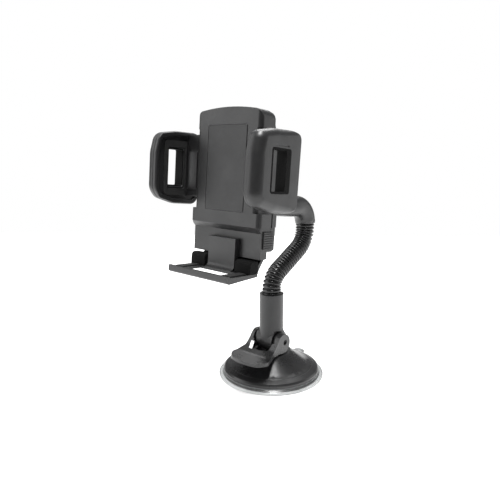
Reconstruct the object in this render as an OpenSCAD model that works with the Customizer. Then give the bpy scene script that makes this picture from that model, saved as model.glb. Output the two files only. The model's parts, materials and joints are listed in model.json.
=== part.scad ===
// Phone mount: a spring-jawed cradle on a bendable neck, held to glass by a
// levered suction base.  Units are mm, +Z is up, and the origin is the centre
// of the suction disc on the surface it grips.  The cradle faces -Y.

/* [Part to draw] */
// Radius of the clear suction disc
disc_r = 40; // [36:0.5:46]
// Radius of the black dome that presses on the disc
dome_r = 36.5; // [33:0.5:36.5]

/* [Lock lever] */
// Height of the pivot pin above the surface, lever locked
pin_z = 27.3; // [26:0.1:30]
// Radius of the pivot pin
pin_r = 2; // [1.5:0.1:2.2]
// Distance from the pivot pin to the tip of the lever
lever_reach = 33.6; // [28:0.2:36]

/* [Stem and neck] */
// Radius of the rigid stem
stem_r = 9.1; // [8.8:0.1:9.6]
// Height of the stem's upper end
stem_top = 63.4; // [60:0.2:68]
// Outer radius of the neck's ribs
rib_r = 7.15; // [6.6:0.05:7.4]
// Distance between neighbouring ribs
rib_pitch = 2.55; // [2.2:0.05:3]

/* [Cradle] */
// How far the cradle leans back, in degrees
cradle_tilt = 5.15; // [0:0.05:12]
// Half width of the cradle's middle
body_hw = 27.4; // [27:0.1:28]
// Half width of the belt below the pad
belt_hw = 30.6; // [29.6:0.1:31]
// Height of the cradle's crown above the lower edge of the pad
crown_v = 66.3; // [65:0.1:70]

/* [Jaws and foot] */
// Distance from the cradle's middle to the inner face of an open jaw
jaw_in = 41; // [40:0.1:44]
// Distance from the cradle's middle to the outer face of an open jaw
jaw_out = 48.6; // [48:0.1:51]
// Half width of the foot's tray
tray_hw = 26.6; // [26.2:0.1:27]
// How far the tray reaches in front of the cradle
tray_front = 21.8; // [20.8:0.1:24]

/* [Hidden] */
$fn = 48;
eps = 0.01;

// lever and dome: the lever's ears are eccentric discs that bear on the dome
cam_r = 7.5;
cam_e = 1.8;
cam_angle = 65;
deck_z = pin_z - cam_r - cam_e * cos(cam_angle) - 0.35;
deck_r = 15;
ridge_r = 26.8;
ridge_z = 9.6;
lug_r = 7.2;
lug_in = 7.5;
lug_out = 10.1;
ear_in = 10.4;
ear_out = 13.4;
knuckle_hw = 7.2;
post_hw = 2.1;
lift = 1.4;
run = 0.05;

// neck route in the plane x = 0, from the stem to the elbow
bend_deg = 62;
bend1_r = 15;
bend2_r = 17.9;
straight = 27.8;
neck_z = stem_top + 2.6;
j1 = [bend1_r * (1 - cos(bend_deg)), neck_z + bend1_r * sin(bend_deg)];
way = [sin(bend_deg), cos(bend_deg)];
j2 = j1 + way * straight / 2;
j3 = j1 + way * straight;
neck_y = j3[0] + bend2_r * (1 - cos(bend_deg));
neck_end = j3[1] + bend2_r * sin(bend_deg);
sleeve_bore = 5;
core_r = 4.9;
groove_r = rib_r - 0.65;
joint_gap = 1.5;

// elbow and ball
elbow_z = neck_end + 4;
elbow_bend = 14.5;
elbow_r = 7.9;
arm_z = elbow_z + elbow_bend;
ball_r = 8;
ball_w = -25.5;
cradle_y = -51.45;
cradle_z = 130;

// cradle, in its own frame: u across, v up its face, w out of its face
wall = 2;
seam_w = -14.8;
back_w = -18;
lower_w = -4;
lower_v = -28.3;
step_v = -23.6;
step_w = -10.2;
belt_v = -8.3;
corner_r = 3;
cap_hw = body_hw + 0.5;
ball_v = (arm_z - cradle_z - ball_w * sin(cradle_tilt)) / cos(cradle_tilt);
ball_y = cradle_y + ball_v * sin(cradle_tilt) - ball_w * cos(cradle_tilt);
boss_r = 12.6;
tray_top = -38;

// jaw drive
gear_module = 1;
gear_teeth = 14;
gear_v = 30;
gear_r = gear_module * gear_teeth / 2;
rack_w0 = -11.2;
rack_w1 = -8.2;
pitch = PI * gear_module;

// ---------------------------------------------------------------- helpers

// corner of a rounded polygon: an arc of radius r that cuts the corner at b
function corner(a, b, c, r, n) =
    let (p = (a - b) / norm(a - b), q = (c - b) / norm(c - b))
    let (half = acos(max(-1, min(1, p * q))) / 2)
    let (m = b + (p + q) / norm(p + q) * r / sin(half))
    let (t0 = b + p * r / tan(half), t1 = b + q * r / tan(half))
    let (a0 = atan2(t0[1] - m[1], t0[0] - m[0]))
    let (d = atan2(t1[1] - m[1], t1[0] - m[0]) - a0)
    let (s = d > 180 ? d - 360 : d < -180 ? d + 360 : d)
    [for (i = [0:n]) m + r * [cos(a0 + s * i / n), sin(a0 + s * i / n)]];

// polygon whose corners are all rounded: pts are [x, y, r]
function rounded(pts, n = 5) =
    let (k = len(pts))
    [for (i = [0:k - 1])
        let (a = pts[(i + k - 1) % k], b = pts[i], c = pts[(i + 1) % k])
        each corner([a[0], a[1]], [b[0], b[1]], [c[0], c[1]], b[2], n)];

// a shape drawn as (x, y) becomes (v, w) and runs across the cradle
module across(u0, u1) {
    translate([u0, 0, 0])
        rotate([90, 0, 90])
            linear_extrude(u1 - u0)
                children();
}

// a shape drawn as (u, w) runs up the cradle from v0 to v1
module upward(v0, v1) {
    translate([0, v1, 0])
        rotate([90, 0, 0])
            linear_extrude(v1 - v0)
                children();
}

// a shape drawn as (u, v) runs out of the cradle from w0 to w1
module outward(w0, w1) {
    translate([0, 0, w0])
        linear_extrude(w1 - w0)
            children();
}

module in_cradle() {
    translate([0, cradle_y, cradle_z])
        rotate([90 - cradle_tilt, 0, 0])
            children();
}

module box(lo, hi) {
    translate(lo)
        cube(hi - lo);
}

// cylinder along X, centred on the pivot pin
module on_pin(r, x0, x1) {
    translate([x0, 0, pin_z])
        rotate([0, 90, 0])
            cylinder(r = r, h = x1 - x0);
}

// ------------------------------------------------------------------- base

module suction_disc() {
    tab_deg = 98;
    color("lightcyan")
    difference() {
        union() {
            rotate_extrude()
                polygon([[0, 1.6], [20, 1.3], [33, 0.3], [35, 0], [disc_r - 0.4, 0],
                         [disc_r, 0.5], [disc_r - 0.2, 1.7], [dome_r + 0.3, 3.1],
                         [28, 3.3], [14, 4.4], [10, 5.2], [10, 9.6], [0, 9.6]]);
            rotate([0, 0, tab_deg])
                translate([disc_r - 3, -5, 0.5])
                    cube([9, 10, 1.2]);
            rotate([0, 0, tab_deg])
                translate([disc_r + 6, 0, 0.5])
                    cylinder(r = 5, h = 1.2);
        }
        translate([0, 0, 4.4])
            cylinder(r = 8.1, h = 3.2);
        translate([0, 0, 7])
            cylinder(r = 5.1, h = 4);
    }
}

module disc_post() {
    color("dimgray")
    difference() {
        union() {
            translate([0, 0, 4.5])
                cylinder(r = 8, h = 3);
            translate([-post_hw, -4, 7])
                cube([2 * post_hw, 8, pin_z - 7]);
            on_pin(4.9, -post_hw, post_hw);
        }
        on_pin(pin_r, -5, 5);
    }
}

module pivot_pin() {
    color("silver")
        on_pin(pin_r - run, -ear_out + 1.8, ear_out - 1.8);
}

module pin_slot(x0, x1, down, up) {
    slot_r = pin_r + run;
    for (dz = [-down, up])
        translate([0, 0, dz])
            on_pin(slot_r, x0, x1);
    translate([x0, -slot_r, pin_z - down])
        cube([x1 - x0, 2 * slot_r, down + up]);
}

module base_dome() {
    color("dimgray")
    difference() {
        union() {
            rotate_extrude()
                polygon([[0, 11], [14, 11], [23, 6.5], [31, 4.9], [34.6, 3.4],
                         [dome_r, 3.4], [dome_r, 5.4], [dome_r - 1, 6.6],
                         [31.6, 8.1], [31.2, 7.9], [30.8, 8.3],
                         [ridge_r, ridge_z], [deck_r + 0.6, deck_z - 0.7],
                         [deck_r, deck_z], [0, deck_z]]);
            for (s = [-1, 1])
                lug(s);
            difference() {
                cylinder(r = 24, h = 9);
                translate([0, 0, -eps])
                    cylinder(r = 22.4, h = 10);
                translate([0, 0, -eps])
                    cylinder(r = 30, h = 5.2);
            }
        }
        translate([-knuckle_hw - 0.3, -12, pin_z - stem_r - lift - 0.35])
            cube([2 * knuckle_hw + 0.6, 24, 10]);
        translate([-post_hw - 0.25, -4.3, 0])
            cube([2 * post_hw + 0.5, 8.6, 30]);
        translate([0, 0, 3])
            cylinder(r = 10.4, h = 8.2);
    }
}

module lug(s) {
    x0 = s > 0 ? lug_in : -lug_out;
    difference() {
        union() {
            on_pin(lug_r, x0, x0 + lug_out - lug_in);
            translate([x0, -lug_r, deck_z - 1])
                cube([lug_out - lug_in, 2 * lug_r, pin_z - deck_z + 1]);
        }
        pin_slot(x0 - 1, x0 + 4, lift, 0.1);
    }
}

module lever_plan() {
    polygon(rounded([[-ear_out, 14, 0.5], [-ear_out, -7, 5], [-13.7, -14, 10],
                     [-17.6, -25.8, 5], [-12.4, -31.8, 6], [0, -lever_reach - 1, 30],
                     [12.4, -31.8, 6], [17.6, -25.8, 5], [13.7, -14, 10],
                     [ear_out, -7, 5], [ear_out, 14, 0.5]]));
}

module lever_window() {
    polygon(rounded([[-ear_in, 16, 0.5], [-ear_in, -9.6, 0.8], [-8.6, -9.6, 0.8],
                     [-8.6, -14.2, 2.5], [0, -16.2, 12], [8.6, -14.2, 2.5],
                     [8.6, -9.6, 0.8], [ear_in, -9.6, 0.8], [ear_in, 16, 0.5]]));
}

module lever_side() {
    polygon(rounded([[2, 4.8, 1], [-5.5, 5.4, 2], [-13.5, -3.4, 8],
                     [-21, -6.2, 10], [-lever_reach - 0.5, -7.4, 0.8],
                     [-lever_reach - 0.5, -9.8, 0.8], [-20, -8.9, 10],
                     [-13, -7.4, 8], [-2, -7.2, 1]]));
}

module lock_lever() {
    color("gray")
    difference() {
        union() {
            for (x0 = [-ear_out, ear_in])
                translate([0, -cam_e * sin(cam_angle), -cam_e * cos(cam_angle)])
                    on_pin(cam_r, x0, x0 + ear_out - ear_in);
            difference() {
                intersection() {
                    translate([-20, 0, pin_z])
                        rotate([90, 0, 90])
                            linear_extrude(40)
                                lever_side();
                    translate([0, 0, 5])
                        linear_extrude(40)
                            lever_plan();
                }
                translate([0, 0, 5])
                    linear_extrude(40)
                        lever_window();
            }
        }
        on_pin(pin_r, -20, 20);
        translate([-8.5, 0, pin_z])
            rotate([90, 0, 90])
                linear_extrude(3.2)
                    catch_socket();
    }
}

// cut that holds the foot of the catch, a little larger than the strip
module catch_socket() {
    polygon([[-17.85, -12], [-16.55, -12], [-16.55, -8.3], [-12.7, -0.9],
             [-13.8, 0.4], [-17.2, -5.75], [-17.85, -5.75]]);
}

// bent steel strip that snaps under the deck's rim when the lever is shut
module lever_catch() {
    color("silver")
    translate([-8.4, 0, pin_z])
        rotate([90, 0, 90])
            linear_extrude(3)
                polygon([[-17.7, -8.2], [-16.7, -8.2], [-12.9, -0.9],
                         [-11.4, -2.2], [-10.8, -1.5], [-12.9, 0.5],
                         [-13.6, 0.2], [-17.1, -5.9], [-17.7, -5.9]]);
}

// ------------------------------------------------------------------- stem

module stem() {
    color("dimgray")
    difference() {
        union() {
            intersection() {
                translate([0, 0, pin_z])
                    cylinder(r = stem_r, h = stem_top - pin_z);
                union() {
                    translate([-20, -20, pin_z + 9.2])
                        cube([40, 40, 60]);
                    translate([-knuckle_hw, -20, pin_z - 1])
                        cube([2 * knuckle_hw, 40, 20]);
                }
            }
            on_pin(stem_r, -knuckle_hw, knuckle_hw);
        }
        on_pin(pin_r, -20, 20);
        on_pin(5.3, -post_hw - 0.25, post_hw + 0.25);
        translate([-post_hw - 0.25, 0, pin_z])
            rotate([90, 0, 90])
                linear_extrude(2 * post_hw + 0.5)
                    polygon([[-4.6, 0.5], [-5.6, -12], [16, -12], [16, -4],
                             [9.8, -4.6], [3.4, 3.2]]);
        translate([0, 0, 52])
            cylinder(r = 7.3, h = 20);
    }
}

module stem_ring() {
    color("black")
    difference() {
        translate([0, 0, 52])
            cylinder(r = 7.2, h = stem_top - 52 - 1.2);
        translate([0, 0, 51])
            cylinder(r = sleeve_bore, h = 20);
    }
}

// ------------------------------------------------------------------- neck

// places its child at a point of the neck, leaning deg degrees towards +Y
module on_neck(p, deg) {
    translate([0, p[0], p[1]])
        rotate([-deg, 0, 0])
            children();
}

// ribbed straight tube, along +Z from z0 to z1
module ribbed(z0, z1) {
    n = floor((z1 - z0) / rib_pitch);
    step = (z1 - z0) / n;
    for (i = [0:n - 1])
        translate([0, 0, z0 + step * i])
            cylinder(r = rib_r, h = step - 0.85);
    translate([0, 0, z0])
        cylinder(r = groove_r, h = z1 - z0);
}

// arc of the neck that starts at the origin heading +Z and turns towards +Y
module arc(r, tube, bore = 0, deg = bend_deg) {
    rotate([90, 0, 90])
        translate([r, 0, 0])
            mirror([1, 0, 0])
                rotate_extrude(angle = deg)
                    translate([r, 0])
                        difference() {
                            circle(r = tube);
                            if (bore > 0)
                                circle(r = bore);
                        }
}

// straight tube along +Z
module tube(r, h) {
    difference() {
        cylinder(r = r, h = h);
        translate([0, 0, -1])
            cylinder(r = sleeve_bore, h = h + 2);
    }
}

// wedge-shaped ribs along the same arc, set into its wall
module arc_ribs(r) {
    n = floor(bend_deg * PI / 180 * r / rib_pitch);
    step = bend_deg / n;
    for (i = [0:n - 2])
        translate([0, r, 0])
            rotate([-step * (i + 0.2), 0, 0])
                translate([0, -r, 0])
                    arc(r, rib_r, sleeve_bore + 0.6, step * 0.6);
}

// the lower bend leaves the stem upright
module at_bend_one() {
    translate([0, 0, neck_z])
        children();
}

// the upper bend is drawn from the elbow backwards
module at_bend_two() {
    translate([0, neck_y, neck_end])
        rotate([180, 0, 0])
            children();
}

// cuts the end of a neck piece square, gap before (or after) a joint
module joint_cut(p, deg, before) {
    on_neck(p, deg)
        translate([-12, -12, before ? -joint_gap : joint_gap - 24])
            cube(24);
}

module neck_sleeve_1() {
    color("#303030")
    difference() {
        union() {
            translate([0, 0, stem_top - 1.1])
                tube(groove_r, neck_z - stem_top + 1.1);
            translate([0, 0, stem_top + 0.6])
                tube(rib_r, 1.6);
            at_bend_one()
                arc(bend1_r, groove_r, sleeve_bore);
            at_bend_one()
                arc_ribs(bend1_r);
        }
        joint_cut(j1, bend_deg, true);
    }
}

module neck_sleeve_2() {
    color("#343434")
    on_neck(j1, bend_deg)
        difference() {
            ribbed(joint_gap, straight / 2 - joint_gap);
            cylinder(r = sleeve_bore, h = straight);
        }
}

module neck_sleeve_3() {
    color("#303030")
    on_neck(j2, bend_deg)
        difference() {
            ribbed(joint_gap, straight / 2 - joint_gap);
            cylinder(r = sleeve_bore, h = straight);
        }
}

module neck_sleeve_4() {
    color("#343434")
    difference() {
        union() {
            at_bend_two()
                arc(bend2_r, groove_r, sleeve_bore);
            at_bend_two()
                arc_ribs(bend2_r);
            translate([0, neck_y, neck_end])
                tube(groove_r, elbow_z - neck_end);
            translate([0, neck_y, neck_end + 1.2])
                tube(rib_r, 1.6);
        }
        joint_cut(j3, bend_deg, false);
    }
}

// ball on a short stalk, at the upper end of a core
module core_ball() {
    sphere(r = 4);
    translate([0, 0, -4])
        cylinder(r = 2.2, h = 4);
}

// cup that sits over the ball, at the lower end of a core
module core_cup(top) {
    difference() {
        translate([0, 0, 0.6])
            cylinder(r = core_r, h = top - 0.6);
        sphere(r = 4.25);
    }
}

module neck_core_1() {
    color("gray")
    union() {
        difference() {
            union() {
                translate([0, 0, 53])
                    cylinder(r = core_r, h = neck_z - 53);
                at_bend_one()
                    arc(bend1_r, core_r);
            }
            on_neck(j1, bend_deg)
                translate([-12, -12, -3])
                    cube(24);
        }
        on_neck(j1, bend_deg)
            core_ball();
    }
}

module neck_core_2() {
    color("silver")
    on_neck(j1, bend_deg)
        union() {
            core_cup(straight / 2 - 3);
            translate([0, 0, straight / 2])
                core_ball();
        }
}

module neck_core_3() {
    color("gray")
    on_neck(j2, bend_deg)
        union() {
            core_cup(straight / 2 - 3);
            translate([0, 0, straight / 2])
                core_ball();
        }
}

module neck_core_4() {
    color("silver")
    difference() {
        union() {
            at_bend_two()
                arc(bend2_r, core_r);
            translate([0, neck_y, neck_end])
                cylinder(r = core_r, h = elbow_z - neck_end + 5);
        }
        on_neck(j3, bend_deg)
            translate([-12, -12, 0.6 - 24])
                cube(24);
        on_neck(j3, bend_deg)
            sphere(r = 4.25);
    }
}

// --------------------------------------------------------- elbow and ball

module elbow_arm() {
    neck_len = neck_y - elbow_bend;
    color("dimgray")
    difference() {
        union() {
            translate([0, neck_y - elbow_bend, elbow_z])
                rotate([90, 0, 90])
                    rotate_extrude(angle = 90)
                        translate([elbow_bend, 0])
                            circle(r = elbow_r);
            translate([0, neck_len, arm_z])
                rotate([90, 0, 0])
                    cylinder(r1 = elbow_r, r2 = 5.4, h = neck_len - 2);
            translate([0, 2, arm_z])
                rotate([90, 0, 0])
                    cylinder(r1 = 5.4, r2 = 4.4, h = 12);
            translate([0, -9, arm_z])
                rotate([90, 0, 0])
                    cylinder(r = 4.4, h = -9 - ball_y);
            translate([0, ball_y, arm_z])
                sphere(r = ball_r);
        }
        translate([0, neck_y, elbow_z - 1])
            cylinder(r = sleeve_bore, h = 6.2);
    }
}

// places its child at the ball, with +Z out of the cradle's face
module at_ball() {
    in_cradle()
        translate([0, ball_v, ball_w])
            children();
}

module ball_liner() {
    color("gray")
    at_ball()
        difference() {
            translate([0, 0, -4])
                cylinder(r = boss_r - 2.05, h = 11);
            sphere(r = ball_r + run);
            translate([0, 0, -5])
                cylinder(r1 = 8.2, r2 = 7, h = 2);
            translate([0, 0, 5])
                cylinder(r = 5, h = 3);
        }
}

module clamp_nut() {
    color("dimgray")
    at_ball()
        difference() {
            union() {
                translate([0, 0, -7.5])
                    cylinder(r = boss_r + 2.4, h = 12);
                for (a = [0:15:345])
                    rotate([0, 0, a])
                        translate([boss_r + 2.2, 0, -6.5])
                            cylinder(r = 0.9, h = 10);
            }
            translate([0, 0, -4.1])
                cylinder(r = boss_r + 0.3, h = 20);
            translate([0, 0, -7.6])
                cylinder(r1 = 9.4, r2 = 7, h = 3.6);
        }
}

// ---------------------------------------------------------- cradle shells

// rounded section across the cradle, drawn as (u, w)
module section(hw, front, back, r) {
    translate([-hw, back])
        square([2 * hw, front - r - back]);
    translate([-hw + r, back])
        square([2 * (hw - r), front - back]);
    for (s = [-1, 1])
        translate([s * (hw - r), front - r])
            circle(r = r);
}

// arched outline of the cap, drawn as (u, v); d insets it
module cap_outline(d = 0) {
    hw = cap_hw - d;
    r = 6 - d / 2;
    top = crown_v - d;
    big = 150;
    drop = big - sqrt(big * big - (hw - r) * (hw - r));
    intersection() {
        translate([-hw + r, 40])
            square([2 * (hw - r), top]);
        translate([0, top - big])
            circle(r = big, $fn = 360);
    }
    translate([-hw, 53 - d])
        square([2 * hw, top - drop - r - 53 + d]);
    for (s = [-1, 1])
        translate([s * (hw - r), top - drop - r])
            circle(r = r);
}

// side view of the front shell, drawn as (v, w)
module side_profile() {
    polygon([[lower_v, lower_w], [-12, lower_w], [belt_v, 0], [70, 0],
             [70, -10.8], [56, -10.8], [46, seam_w], [step_v, seam_w],
             [step_v, step_w], [lower_v, step_w]]);
}

module shell_block(d, front) {
    upward(0, 56)
        section(body_hw - d, front, -20, corner_r - d / 2);
    intersection() {
        upward(50, 70)
            section(cap_hw - d, front, -20, corner_r - d / 2);
        outward(-20, 1)
            cap_outline(d);
    }
    upward(belt_v + d / 2, 0.5 - d / 2)
        section(belt_hw - d, front, -20, corner_r - d / 2);
    upward(lower_v + d, 0)
        section(belt_hw - 0.6 - d, front, -20, corner_r - d / 2);
}

module front_shell() {
    color("#3a3a3a")
    in_cradle()
        difference() {
            union() {
                difference() {
                    intersection() {
                        shell_block(0, 0);
                        across(-40, 40)
                            side_profile();
                    }
                    intersection() {
                        shell_block(wall, -wall);
                        across(-40, 40)
                            translate([0, -wall])
                                inner_profile();
                    }
                }
                screw_bosses();
            }
            outward(-0.8, 1)
                pad_outline(0.15);
            for (s = [-1, 1]) {
                jaw_slot(s);
                button_slot(s);
                belt_groove(s);
            }
            foot_slot();
        }
}

// hollow of the front shell, drawn as (v, w) before it is set back by a wall
module inner_profile() {
    polygon([[lower_v + wall, lower_w], [-11.5, lower_w], [belt_v, 0],
             [crown_v - wall, 0], [crown_v - wall, -20], [step_v + 1.2, -20],
             [step_v + 1.2, step_w + 2 * wall], [lower_v + wall, step_w + 2 * wall]]);
}

module pad_outline(grow) {
    polygon(rounded([[-16.9 - grow, 0.6 - grow, 1], [16.9 + grow, 0.6 - grow, 1],
                     [16.9 + grow, 55.2 + grow, 1], [-16.9 - grow, 55.2 + grow, 1]]));
}

module front_pad() {
    color("#505050")
    in_cradle()
        outward(-0.7, 0.1)
            pad_outline(0);
}

module jaw_slot(s) {
    u0 = s > 0 ? body_hw - 6 : -body_hw - 3;
    box([u0, 7.6, -7.3], [u0 + 9, 50.2, -3.1]);
}

module button_slot(s) {
    u0 = s > 0 ? belt_hw - 6 : -belt_hw - 3;
    box([u0, -21.8, -20], [u0 + 9, -10.5, -5.2]);
}

// upright groove in the side of the belt
module belt_groove(s) {
    u0 = s > 0 ? belt_hw - 0.8 : -belt_hw - 1;
    box([u0, -9.6, -13.3], [u0 + 1.8, 1, -12.2]);
}

module foot_slot() {
    box([-6.3, lower_v - 1, -7], [6.3, -17.2, 0]);
    box([-10.4, lower_v - 1, -9], [10.4, step_v + 2, -6]);
}

module back_shell() {
    color("#333333")
    in_cradle()
        difference() {
            union() {
                back_skin();
                boss();
                gear_post();
                spring_stop();
            }
            for (p = screw_at) {
                translate([p[0], p[1], p[2] - 2])
                    cylinder(r = 1.4, h = 8);
                translate([p[0], p[1], p[2] - 2])
                    cylinder(r = 2.8, h = 3.1);
            }
            translate([0, ball_v, back_w - 12])
                cylinder(r = boss_r - 2, h = 12.9);
        }
}

module back_skin() {
    difference() {
        intersection() {
            shell_block(0.6, 0);
            across(-40, 40)
                polygon([[step_v, seam_w - 0.3], [46, seam_w - 0.3],
                         [56, -11.1], [crown_v, -11.1], [crown_v, -14.2],
                         [56, -14.4], [46, back_w], [step_v + 1, back_w]]);
        }
        intersection() {
            shell_block(2.6, 0);
            across(-40, 40)
                polygon([[step_v + 2.6, back_w + wall], [46, back_w + wall],
                         [56, -12.4], [crown_v - 2.6, -12.4],
                         [crown_v - 2.6, -8], [step_v + 2.6, -8]]);
        }
    }
}

// screws through the back shell: [u, v, w of the skin there, depth]
screw_at = [[-24, -3, -18, 9], [24, -3, -18, 9],
            [-20, 59.2, -14.25, 9], [20, 59.2, -14.25, 9]];

module boss() {
    translate([0, ball_v, back_w - 8.9])
        cylinder(r = boss_r, h = 11.2);
}

// bosses in the front shell that the screws bite into
module screw_bosses() {
    for (p = screw_at)
        difference() {
            translate([p[0], p[1], p[2] + 3.1])
                cylinder(r = 3, h = -4.8 - p[2]);
            translate([p[0], p[1], p[2]])
                cylinder(r = 1.3, h = p[3] + 1.2);
        }
}

module gear_post() {
    translate([0, gear_v, back_w + 0.5])
        cylinder(r = 3.4, h = rack_w0 - back_w - 0.8);
    translate([0, gear_v, back_w + 1])
        cylinder(r = 2, h = rack_w1 - back_w - 0.4);
}

module spring_stop() {
    box([8, 8.6, back_w + 1], [9.5, 13.6, -7.7]);
}

module shell_screws() {
    color("silver")
    in_cradle()
        for (p = screw_at)
            translate([p[0], p[1], p[2]])
                screw(p[3]);
}

module screw(depth) {
    difference() {
        union() {
            cylinder(r = 1.25, h = depth);
            translate([0, 0, 0.1])
                cylinder(r = 2.5, h = 1);
        }
        for (a = [0, 90])
            rotate([0, 0, a])
                translate([-1.6, -0.3, -0.1])
                    cube([3.2, 0.6, 0.7]);
    }
}

// ------------------------------------------------------------------- jaws

// side view of a jaw, drawn as (v, w)
module jaw_side() {
    polygon(rounded([[1.6, -13, 5], [2.2, 8, 20], [5.8, 21.5, 6], [11.5, 26, 10],
                     [36, 26, 16], [48.5, 23, 6], [51.2, 8, 20],
                     [51.8, -13.5, 4.6]]));
}

module jaw_window() {
    polygon(rounded([[14.2, -0.5, 1.5], [14.2, 13.3, 1.5], [39.8, 13.3, 1.5],
                     [39.8, -0.5, 1.5]]));
}

// level section of a jaw, drawn as (u, w)
module jaw_section() {
    polygon(rounded([[jaw_in, -15, 0.5], [jaw_out, -15, 0.5], [jaw_out, 25.9, 4.2],
                     [38.6, 25.9, 1.6], [38.6, 22, 1.2], [jaw_in, 19.5, 1.5]]));
}

module jaw_shape() {
    difference() {
        union() {
            intersection() {
                across(30, 60)
                    jaw_side();
                upward(-5, 60)
                    jaw_section();
            }
            box([16, 8, -7], [jaw_in + 1, 49.8, -4]);
            box([30.4, 12.6, -4.2], [39.4, 38.6, -3.4]);
        }
        across(30, 60)
            jaw_window();
        box([jaw_out - 1.2, 14.2, -4.5], [60, 39.8, 0.5]);
        box([jaw_out - 0.6, 41.1, -1.9], [60, 42, 10.1]);
    }
}

// toothed bar: teeth point along +v from a bar that runs along u
module rack_bar(u0, u1, root, depth) {
    outward(rack_w0, rack_w1) {
        translate([u0, root - depth])
            square([u1 - u0, depth]);
        for (i = [ceil(u0 / pitch + 0.5):floor(u1 / pitch - 0.5)])
            translate([pitch * i, root])
                polygon([[-1.02, -0.1], [-0.42, 1.6], [0.42, 1.6], [1.02, -0.1]]);
    }
}

module jaw_left() {
    color("#3f3f3f")
    in_cradle()
        union() {
            mirror([1, 0, 0])
                jaw_shape();
            rack_bar(-18, 9, gear_v - gear_r - 0.9, 3);
            box([-18, gear_v - gear_r - 3.9, rack_w0], [-16, gear_v - gear_r - 0.9, -6.9]);
            ratchet();
            box([-18, 8.6, -11.4], [-16, 13.4, -6.9]);
        }
}

module jaw_right() {
    color("#3f3f3f")
    in_cradle()
        union() {
            jaw_shape();
            translate([0, 2 * gear_v, 0])
                mirror([0, 1, 0])
                    rack_bar(-9, 18, gear_v - gear_r - 0.9, 3);
            box([16, gear_v + gear_r + 0.9, rack_w0], [18, gear_v + gear_r + 3.9, -6.9]);
        }
}

// saw teeth under the left rack that the slider's tooth drops into
module ratchet() {
    outward(rack_w0, rack_w1)
        for (i = [0:5])
            translate([-13 + 2 * i, gear_v - gear_r - 3.85])
                polygon([[0, 0.1], [2, 0.1], [2, -1]]);
}

module jaw_pad_shape() {
    difference() {
        across(jaw_in - 0.9, jaw_in - 0.05)
            polygon(rounded([[8, -2.8, 1], [8, 17, 3], [45, 17, 3], [45, -2.8, 1]]));
        across(30, 60)
            polygon(rounded([[12.6, -1.4, 1.5], [12.6, 14, 1.5],
                             [40.4, 14, 1.5], [40.4, -1.4, 1.5]]));
    }
}

module jaw_pad_left() {
    color("#222222")
    in_cradle()
        mirror([1, 0, 0])
            jaw_pad_shape();
}

module jaw_pad_right() {
    color("#222222")
    in_cradle()
        jaw_pad_shape();
}

// flank of a gear tooth: the involute of the base circle
function involute(rb, t) = rb * [cos(t) + t * PI / 180 * sin(t),
                                 sin(t) - t * PI / 180 * cos(t)];

function turned(p, a) = [p[0] * cos(a) - p[1] * sin(a), p[0] * sin(a) + p[1] * cos(a)];

module gear_tooth() {
    rb = gear_r * cos(20);
    half = 90 / gear_teeth - 1.1 + (tan(20) * 180 / PI - 20);
    t_tip = 33;
    up = [for (t = [0:t_tip / 5:t_tip]) turned(involute(rb, t), -half)];
    down = [for (i = [len(up) - 1:-1:0]) [up[i][0], -up[i][1]]];
    polygon(concat([[gear_r - 2, -1.1]], up, down, [[gear_r - 2, 1.1]]));
}

module jaw_pinion() {
    color("white")
    in_cradle()
        translate([0, gear_v, 0])
            outward(rack_w0 + 0.1, rack_w1)
                difference() {
                    union() {
                        circle(r = gear_r - 1.3);
                        for (i = [0:gear_teeth - 1])
                            rotate([0, 0, 360 * i / gear_teeth - 90 + 180 / gear_teeth])
                                gear_tooth();
                    }
                    circle(r = 2 + run);
                }
}

module jaw_spring() {
    color("silver")
    in_cradle()
        translate([-16 + 0.05, 11, -9.6])
            rotate([0, 90, 0])
                difference() {
                    union() {
                        cylinder(r = 1.45, h = 23.9);
                        for (i = [0:8])
                            translate([0, 0, 0.2 + i * 2.8])
                                cylinder(r = 1.9, h = 0.8);
                    }
                    translate([0, 0, -1])
                        cylinder(r = 1.1, h = 30);
                }
}

// ------------------------------------------------------ release and foot

module release_slider() {
    color("white")
    in_cradle()
        union() {
            outward(-14.4, -12)
                polygon([[-16.5, -19.5], [-16.5, -18], [-12, -13.5], [-4, -13.5],
                         [-4, 16.8], [4, 16.8], [4, -13.5], [12, -13.5],
                         [16.5, -18], [16.5, -19.5]]);
            outward(-12.1, rack_w1)
                polygon([[-1.6, 15.3], [-1.6, 16.9], [-0.9, 16.9], [0.7, 18.1],
                         [0.7, 15.3]]);
        }
}

module button_shape() {
    union() {
        difference() {
            box([belt_hw - 3.4, -21.5, -14.5], [belt_hw + 0.5, -10.8, -5.5]);
            for (i = [0:6])
                box([belt_hw + 0.1, -21 + 1.5 * i, -15],
                    [belt_hw + 2, -20.4 + 1.5 * i, -5]);
        }
        box([belt_hw - 4, -22.2, -14.5], [belt_hw - 2.8, -10, -7.8]);
        outward(-14.4, -12)
            polygon([[12.1, -13.4], [16.6, -17.9], [26.7, -17.9], [26.7, -11.4],
                     [12.1, -11.4]]);
    }
}

module button_right() {
    color("#2a2a2a")
    in_cradle()
        button_shape();
}

module button_left() {
    color("#2a2a2a")
    in_cradle()
        mirror([1, 0, 0])
            button_shape();
}

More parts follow.
